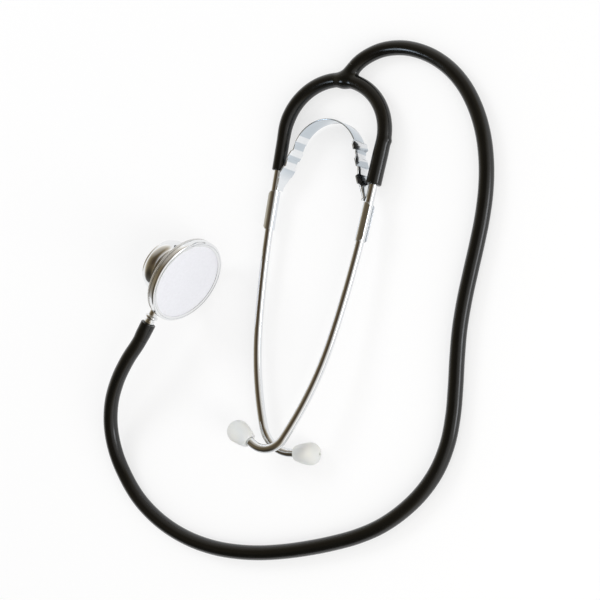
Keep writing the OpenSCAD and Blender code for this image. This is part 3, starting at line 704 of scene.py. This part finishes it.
# %% Strip along its stations
def strip_section(twist, width):
    """A rounded rectangle, turned by the twist."""
    section, lean = [], math.radians(twist)
    for sx, sz, start in ((1, 1, 0), (-1, 1, 90), (-1, -1, 180), (1, -1, 270)):
        middle = (sx * (STRIP_T / 2 - STRIP_CORNER), sz * (width / 2 - STRIP_CORNER))
        section += arc(middle, STRIP_CORNER, start, start + 90, 3)
    return [(x * math.cos(lean) - z * math.sin(lean), x * math.sin(lean) + z * math.cos(lean))
            for x, z in section]


def strip_piece(name, stations, way):
    """way is 1 for the right half, and -1 for its mirror image."""
    points, rings = [np.array(p) for p, _, _ in stations], []
    for i, (p, (_, twist, width)) in enumerate(zip(points, stations)):
        ahead = points[min(i + 1, len(points) - 1)] - points[max(i - 1, 0)]
        if i == 0:
            ahead = np.array([1.0, 0.0])
        ahead /= np.linalg.norm(ahead)
        out = np.array([-ahead[1], ahead[0]])
        ring = [(p[0] + out[0] * x, p[1] + out[1] * x, z) for x, z in strip_section(twist, width)]
        rings.append([SPRING @ Vector((way * x * MM, y * MM, z * MM)) for x, y, z in ring])
    return skin(name, rings, sharp=50)


# %% Two halves of the spring
for side, way in (("left", -1), ("right", 1)):
    half = strip_piece(f"leaf_spring_{side}_half", spring_stations(side), way)
    dress(half, strip_chrome, None, ["leaf_spring"])
    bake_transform(half)


# %% [markdown]
# ## The spring clips
# The strip's ends are folded into channels round the ear tubes. Their section
# is a half ring with two wings, extruded along the tube, with the wings'
# corners cut off at both ends. The upper wing is bent down round the tube, far
# on the left clip and hardly at all on the right one. A bevel gives the cut
# edges the small roundness that catches the light.

# %% Section of a clip
FOLD = {"left": 22, "right": 2}
WING_REACH, WING_CHAMFER, CLIP_SHARP = 2.4, 1.4, 25


def clip_section(fold):
    """fold is how many degrees the upper wing is bent down round the tube."""
    outer, inner = EAR_R + STRIP_T, EAR_R + 0.02
    ring = arc((0, 0), outer, 90 - fold, 270, 26)
    back = arc((0, 0), inner, 270, 90 - fold, 26)
    tilt = math.tan(math.radians(fold))
    drop = [(WING_REACH, z - (WING_REACH - x) * tilt) for x, z in (ring[0], back[-1])]
    return [drop[0], *ring, (WING_REACH, -outer), (WING_REACH, -inner), *back, drop[1]]


# %% Clips
def clip_piece(side):
    section = clip_section(FOLD[side])
    rings = [[Vector((x * MM, -y * MM, z * MM)) for x, z in section] for y in (0.0, CLIP_LEN)]
    piece = skin(f"spring_clip_{side}_folded", rings, sharp=CLIP_SHARP)
    work = bmesh.new()
    work.from_mesh(piece.data)
    for y, way in ((0.0, 1), (-CLIP_LEN, -1)):
        corner = Vector(((WING_REACH - WING_CHAMFER) * MM, y * MM, 0))
        cut_off(work, corner, Vector((1, way, 0)).normalized())
    place = arm_ends[side] @ shift(0, LEG[side] - CLIP_DROP, 0)
    bmesh.ops.transform(work, matrix=place, verts=work.verts)
    bmesh.ops.recalc_face_normals(work, faces=work.faces)
    work.to_mesh(piece.data)
    work.free()
    piece.data.set_sharp_from_angle(angle=math.radians(CLIP_SHARP))
    bevel = piece.modifiers.new("soft_edges", "BEVEL")
    bevel.width, bevel.segments = 0.12 * MM, 2
    bevel.limit_method, bevel.angle_limit = "ANGLE", math.radians(40)
    dress(piece, spring_chrome, f"{side}_binaural", [f"spring_clip_{side}"])


for side in SIDES:
    clip_piece(side)

# %% [markdown]
# ## The chestpiece
# The head is one casting turned on a lathe: a shallow drum for the diaphragm,
# a neck, and a small bell behind it. One closed profile carries it all, with
# the air chamber and the cup. A boolean then drills the bore for the stem.

# %% Sizes of the head
RING_FACE, DRUM_UP, SEAT_UP, FLANGE_T = RING_BACK + RING_H, 6.6, 10.6, 1.5
FLANGE_R, THREAD_R, EDGE_R = RING_R - 0.35, RING_R - 1.4, 0.25
PORT_R, DISH_DEEP = 1.3, 2.4
BELL, RIM_R, RIM_BAND, RIM_WALL, LIP_R = -10.4, 14.4, 1.4, 1.8, 0.35
BULGE_R, BULGE, BULGE_LOW = 15.6, 5.5, 1.3
CUP_R, CUP_LOW = 7.2, 0.6
bulge_z, cup_z = BELL + BULGE - BULGE_LOW, BELL - CUP_LOW
bulge_from = math.degrees(math.asin((BELL + RIM_BAND - bulge_z) / BULGE))
cup_from = math.degrees(math.asin(CUP_LOW / CUP_R)) + 6

# %% Profile, from the air chamber over the drum's edge and the bell to the cup
drum_top, thread = DRUM_UP + FLANGE_T, THREAD_R - 0.05
outside = [(PORT_R, SEAT_UP - DISH_DEEP), (4, SEAT_UP - DISH_DEEP), (THREAD_R - 2.2, SEAT_UP),
           (thread, SEAT_UP), (thread, drum_top + 0.05), (FLANGE_R - 0.1, drum_top + 0.02)]
outside += arc((FLANGE_R - EDGE_R, drum_top - EDGE_R), EDGE_R, 80, 0, 4)
outside += arc((FLANGE_R - EDGE_R, DRUM_UP + EDGE_R), EDGE_R, 0, -90, 4)
outside += [(FLANGE_R - 0.8, DRUM_UP), (FLANGE_R - 1.1, DRUM_UP - 0.15), (12.2, 3.7), (11.0, 3.0),
            (10.3, 2.2), (10.0, 1.2), (10.0, 0.2), (10.3, -0.55)]
outside += arc((BULGE_R - BULGE, bulge_z), BULGE, 88, bulge_from, 40)
outside += [(RIM_R + 0.02, BELL + RIM_BAND + 0.03), (RIM_R, BELL + RIM_BAND - 0.12),
            (RIM_R, BELL + LIP_R)]
outside += arc((RIM_R - LIP_R, BELL + LIP_R), LIP_R, 0, -90, 4)
outside += arc((RIM_R - RIM_WALL + LIP_R, BELL + LIP_R), LIP_R, 270, 190, 4)
outside += arc((RIM_R - RIM_WALL - CUP_R, cup_z), CUP_R, cup_from, 90, 24)
outside += [(PORT_R, cup_z + CUP_R)]
print("profile of the head:", len(outside), "points")

# %% Chest body
AXIS_R, BORE_R, BORE_IN, BORE_OUT = 0.0001, 3.05, 4.5, 30
BODY_SHARP = 35
body = lathe("drum_and_bell", outside, CHEST, segments=160, sharp=BODY_SHARP)
bore = lathe("bore", [(AXIS_R, -BORE_IN), (BORE_R, -BORE_IN), (BORE_R, BORE_OUT),
                      (AXIS_R, BORE_OUT)], STEM, segments=48)
drill = body.modifiers.new("bore", "BOOLEAN")
drill.object, drill.operation, drill.solver = bore, "DIFFERENCE", "EXACT"
drilled = final_mesh(body)
body.modifiers.clear()
body.data = drilled
drilled.set_sharp_from_angle(angle=math.radians(BODY_SHARP))
bpy.data.objects.remove(bore)
dress(body, cast_chrome, "head", ["chest_body"])

# %% [markdown]
# The body's rim is knurled, so that fingers can hold it while the ring is
# screwed off. The photograph is too small to count its ribs, so this knurl is
# as coarse as it has to be to show from near by. The ribs are alike and stand
# evenly round a circle, which is what Geometry Nodes are for: a circle of
# points, one rib on each.

# %% Node tree for the ribs
ribs_tree = bpy.data.node_groups.new("ribs_round_a_rim", "GeometryNodeTree")
for name, kind in (("Radius", "Float"), ("Ribs", "Int"), ("Rib Width", "Float"),
                   ("Rib Length", "Float"), ("Finish", "Material")):
    ribs_tree.interface.new_socket(name=name, in_out="INPUT", socket_type="NodeSocket" + kind)
ribs_tree.interface.new_socket(name="Geometry", in_out="OUTPUT", socket_type="NodeSocketGeometry")
given = add(ribs_tree, "NodeGroupInput").outputs
circle = add(ribs_tree, "GeometryNodeMeshCircle", None,
             {"Vertices": given["Ribs"], "Radius": given["Radius"]})
rib = add(ribs_tree, "GeometryNodeMeshCylinder", {"Vertices": 8},
          {"Radius": given["Rib Width"], "Depth": given["Rib Length"]})
set_out = add(ribs_tree, "GeometryNodeInstanceOnPoints", None,
              {"Points": circle.outputs["Mesh"], "Instance": rib.outputs["Mesh"]})
real = add(ribs_tree, "GeometryNodeRealizeInstances", None,
           {"Geometry": set_out.outputs["Instances"]})
finish = add(ribs_tree, "GeometryNodeSetMaterial", None,
             {"Geometry": real.outputs["Geometry"], "Material": given["Finish"]})
add(ribs_tree, "NodeGroupOutput", None, {"Geometry": finish.outputs["Geometry"]})


# %% Ribs as a plain mesh
def from_tree(name, tree, values, place):
    carrier = bpy.data.objects.new("carrier", bpy.data.meshes.new("carrier"))
    scene.collection.objects.link(carrier)
    modifier = carrier.modifiers.new("nodes", "NODES")
    modifier.node_group = tree
    inputs = [item for item in tree.interface.items_tree if item.in_out == "INPUT"]
    for item in inputs:
        modifier[item.identifier] = values[item.name]
    mesh = final_mesh(carrier)
    bpy.data.objects.remove(carrier)
    mesh.transform(place)
    return add_object(name, mesh, sharp=60)


RIBS, RIB_R, RIB_SINK = 170, 0.28, 0.12
ribs = from_tree("knurled_rim", ribs_tree, {
    "Radius": (FLANGE_R - RIB_SINK) * MM, "Ribs": RIBS, "Rib Width": RIB_R * MM,
    "Rib Length": (FLANGE_T - 0.3) * MM, "Finish": cast_chrome},
    CHEST @ shift(0, 0, DRUM_UP + FLANGE_T / 2))
dress(ribs, cast_chrome, "head")

# %% [markdown]
# ## Retaining ring and diaphragm
# The ring screws over the drum's thread. Its outside is one full round bead,
# and a thin lip reaches over the edge of the diaphragm and holds it down, with
# a fine groove between bead and lip. The lathe turns both from the real
# profile, so the groove is cut and not painted.

# %% Ring
BEAD_R = 1.1
bead = (RING_R - BEAD_R, RING_FACE - BEAD_R)
ring_profile = [(THREAD_R, RING_BACK), (RING_R - 0.25, RING_BACK), (RING_R - 0.02, RING_BACK + 0.2)]
ring_profile += arc(bead, BEAD_R, 0, 90, 14)
ring_profile += [(THREAD_R + out, RING_FACE - deep) for out, deep in (
    (0.15, 0.02), (0.02, 0.36), (-0.14, 0.38), (-0.32, 0.1), (-1.1, 0.12), (-1.4, 0.25),
    (-1.5, 0.45), (-1.5, 0.55), (0, 0.55))]
ring = lathe("screwed_ring", ring_profile, CHEST, segments=192, sharp=35)
dress(ring, cast_chrome, "ring", ["retaining_ring"])

# %% Diaphragm disc: flat at its edge, and a hair higher in the middle
DISC_EDGE, DISC_T, HUB_R = THREAD_R - 0.3, 0.4, 0.02
disc_profile = [(r, SEAT_UP + up) for r, up in (
    (HUB_R, 0), (DISC_EDGE, 0), (DISC_EDGE, DISC_T), (THREAD_R - 3.2, DISC_T),
    (15, 0.42), (8, 0.44), (HUB_R, 0.45))]
disc = lathe("diaphragm_disc", disc_profile, CHEST, segments=160)
dress(disc, resin, "head", ["diaphragm"])

# %% [markdown]
# ## Stem, seal and the end of the hose
# The stem is turned from bar: a barrel that runs in the head, a bare neck, a
# rounded shoulder, and barbs that the hose is pushed over. A rubber ring in a
# groove of the barrel seals it. All are round, so each is one lathe profile.

# %% Stem
STEM_R, STEM_BORE_R, BARREL_R, BARB_R, BARB_PITCH = 2.5, 1.5, 3.0, 2.9, 3.6
STEM_END = HOSE_AT + CUFF_LEN - 1
ball_groove = [(BARREL_R, 1.9), (2.55, 2.1), (2.55, 4.3), (BARREL_R, 4.5)]
seal_groove = [(BARREL_R, 6.4), (2.2, 6.42), (2.2, 7.58), (BARREL_R, 7.6)]
barrel = ([(STEM_BORE_R, -4.2), (2.7, -4.2), (BARREL_R, -3.9)] + ball_groove + seal_groove
          + [(BARREL_R, 10.7), (2.7, 11.0)])
neck = [(STEM_R, 11.05), (STEM_R, 27.4), (2.62, 27.56)]
shoulder = arc((2.6, 28.6), 1.0, -84, 84, 12) + [(2.62, 29.64), (STEM_R, 29.8)]
barbs = []
for i in (3, 2, 1):
    start = STEM_END - i * BARB_PITCH
    barbs += [(STEM_R, start - 0.01), (BARB_R, start), (STEM_R, start + 3.2)]
stem_profile = barrel + neck + shoulder + barbs + [(STEM_BORE_R, STEM_END)]
stem = lathe("turned_stem", stem_profile, STEM, segments=64)
dress(stem, cast_chrome, "core", ["stem"])

# %% Seal ring and the end of the hose
SEAL_R, SEAL_AT = 0.42, 7.0
seal_round = arc((BARREL_R - SEAL_R + 0.02, SEAL_AT), SEAL_R, 0, 345, 23)
seal = lathe("seal_ring", seal_round, STEM, segments=64)
dress(seal, nitrile, "core", ["stem_seal"])
cuff_profile = [(r, HOSE_AT + up) for r, up in (
    (2.9, 0.3), (3.1, 0.05), (3.3, 0), (4.0, 0), (4.16, 0.08), (4.22, 0.3), (4.2, 7), (4.08, 9),
    (4.0, CUFF_LEN), (2.9, CUFF_LEN))]
cuff = lathe("hose_end", cuff_profile, STEM, segments=64)
dress(cuff, pvc, "core", ["hose_cuff"])

# %% [markdown]
# ## Small parts that stay
# The nipples, the ball, its spring and the screw are small and mostly hidden,
# and their solids already have the right shape. So the CAD's own meshes stay,
# and only get a finish.

# %% Finish of the small CAD parts
for name, surface in (("ear_nipple_left", tube_chrome), ("ear_nipple_right", tube_chrome),
                      ("detent_ball", cast_chrome), ("detent_spring", spring_chrome),
                      ("detent_screw", cast_chrome)):
    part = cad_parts[name]
    part.data.materials.clear()
    part.data.materials.append(surface)
    print(name, "is", surface.name)

# %% [markdown]
# ## Table
# The photograph has a plain white ground. The table is white, and for what the
# camera and the mirrors see it is mostly an even white of strength 1, with
# enough real shading left to keep the soft shadows.

# %% Table
TABLE_HALF, EVEN_SHARE = 4.0, 0.66
corners = [(x * TABLE_HALF, y * TABLE_HALF, 0) for x, y in ((-1, -1), (1, -1), (1, 1), (-1, 1))]
table_mesh = bpy.data.meshes.new("table")
table_mesh.from_pydata(corners, [], [(0, 1, 2, 3)])
table = bpy.data.objects.new("table", table_mesh)
scene.collection.objects.link(table)
paper, tree, shader, _ = material("white_table", {
    "Base Color": linear("#fafafa"), "Roughness": 0.9})
ray = add(tree, "ShaderNodeLightPath").outputs
seen = ray["Is Camera Ray"]
for kind in ("Is Glossy Ray", "Is Transmission Ray"):
    seen = add(tree, "ShaderNodeMath", None, {0: seen, 1: ray[kind]},
               operation="MAXIMUM").outputs[0]
share = add(tree, "ShaderNodeMath", {1: EVEN_SHARE}, {0: seen}, operation="MULTIPLY")
plain = add(tree, "ShaderNodeEmission", {"Color": linear("#ffffff"), "Strength": 1.0})
mixed = add(tree, "ShaderNodeMixShader", None,
            {0: share.outputs[0], 1: shader.outputs[0], 2: plain.outputs[0]})
tree.links.new(mixed.outputs[0], tree.nodes["Material Output"].inputs["Surface"])
table_mesh.materials.append(paper)
print("table is", 2 * TABLE_HALF, "m wide")

# %% [markdown]
# ## The mirrored room
# Chrome only looks like chrome when it has something dark to show. An even
# white world would turn it to paper, and real walls would shade the table. So
# the world tells rays apart: matte pieces are lit by an even white, the camera
# sees plain white, and the mirrors alone see a room. Its tone goes with height,
# from a white horizon to a dark brown ceiling, with three soft windows in it
# and a darker part in front. The room is tuned to this view, so in other light
# the chrome looks different.

# %% World and the room's ceiling
world = bpy.data.worlds.new("studio")
scene.world = world
world.use_nodes = True
tree = world.node_tree
tree.nodes.clear()
way = add(tree, "ShaderNodeTexCoord").outputs["Generated"]
parts = add(tree, "ShaderNodeSeparateXYZ", None, {"Vector": way})
ceiling = add(tree, "ShaderNodeValToRGB", None, {"Fac": parts.outputs["Z"]})
set_stops(ceiling, [(0.0, "#ffffff"), (0.1, "#efece6"), (0.3, "#bdb4a3"), (0.55, "#8b806b"),
                    (0.82, "#6a5e49"), (0.94, "#584c3b"), (1.0, "#463b2e")])


# %% Windows and the dark front
def soft_spot(direction, inner, outer, strength):
    """A round spot in the room, that fades out between two angles from its middle."""
    axis = Vector(direction).normalized()
    lined_up = add(tree, "ShaderNodeVectorMath", {1: axis}, {0: way}, operation="DOT_PRODUCT")
    fade = add(tree, "ShaderNodeMapRange", {
        "From Min": math.cos(math.radians(outer)), "From Max": math.cos(math.radians(inner)),
        "To Min": 0.0, "To Max": strength}, {"Value": lined_up.outputs["Value"]},
        interpolation_type="SMOOTHSTEP")
    return fade.outputs["Result"]


dark_front = soft_spot((-0.35, -0.88, 0.33), 15, 55, -0.85)
front = add(tree, "ShaderNodeMath", {1: 1.0}, {0: dark_front}, operation="ADD")
glow = soft_spot((0.93, -0.05, 0.36), 12, 52, 0.6)
for window in (((0.96, 0.1, 0.12), 3, 16, 4.2), ((-0.3, 0.85, 0.42), 10, 45, 0.22)):
    glow = add(tree, "ShaderNodeMath", None, {0: glow, 1: soft_spot(*window)},
               operation="ADD").outputs[0]

# %% What each kind of ray sees
WHITE, EVEN_LIGHT = linear("#ffffff"), 0.68
ray = add(tree, "ShaderNodeLightPath").outputs
even = add(tree, "ShaderNodeBackground", {"Color": WHITE, "Strength": EVEN_LIGHT})
room = add(tree, "ShaderNodeBackground", None,
           {"Color": ceiling.outputs["Color"], "Strength": front.outputs[0]})
windows = add(tree, "ShaderNodeBackground", {"Color": linear("#f4f8ff")}, {"Strength": glow})
mirrored_room = add(tree, "ShaderNodeAddShader", None, {0: room.outputs[0], 1: windows.outputs[0]})
white = add(tree, "ShaderNodeBackground", {"Color": WHITE, "Strength": 1.0})
lit = add(tree, "ShaderNodeMixShader", None,
          {0: ray["Is Glossy Ray"], 1: even.outputs[0], 2: mirrored_room.outputs[0]})
clear = add(tree, "ShaderNodeMath", None, {0: ray["Is Camera Ray"], 1: ray["Is Transmission Ray"]},
            operation="MAXIMUM")
shown = add(tree, "ShaderNodeMixShader", None,
            {0: clear.outputs[0], 1: lit.outputs[0], 2: white.outputs[0]})
add(tree, "ShaderNodeOutputWorld", None, {"Surface": shown.outputs[0]})
print("world has", len(tree.nodes), "nodes")


# %% [markdown]
# ## Lamps
# Two wide soft lamps, a window on the left and a fill on the right, make the
# shading and the soft shadows. No mirror sees them, or they would stand in the
# chrome as hard white squares. The third lamp is the other way round: only
# mirrors see it. It is narrow, and puts the sheen on the top of the hose's loop.

# %% Three lamps
def lamp(name, place, size, power, colour, aim=AIM, spread=180, for_mirrors=False):
    """size is width and height in metres, and spread is in degrees."""
    data = bpy.data.lights.new(name, "AREA")
    data.shape = "ELLIPSE" if for_mirrors else "RECTANGLE"
    data.size, data.size_y = size
    data.spread = math.radians(spread)
    data.energy, data.color = power, linear(colour)[:3]
    new = bpy.data.objects.new(name, data)
    new.location = place
    new.rotation_euler = (aim - Vector(place)).to_track_quat("-Z", "Y").to_euler()
    new.visible_camera, new.visible_glossy = False, for_mirrors
    new.visible_diffuse = not for_mirrors
    scene.collection.objects.link(new)
    print("lamp", name, power, "W")


LOOP_TOP = Vector((0.075, 0.117, 0.004))
lamp("window", (-1.0, 0.55, 0.95), (0.7, 0.5), 6.0, "#fbfcff")
lamp("fill", (1.15, -0.3, 0.7), (0.5, 0.9), 8.0, "#fffdf9")
lamp("sheen", (-0.075, -0.033, 0.214), (0.08, 0.1), 0.0075, "#d3e2f2",
     aim=LOOP_TOP, spread=36, for_mirrors=True)
scene.view_settings.view_transform = "Standard"
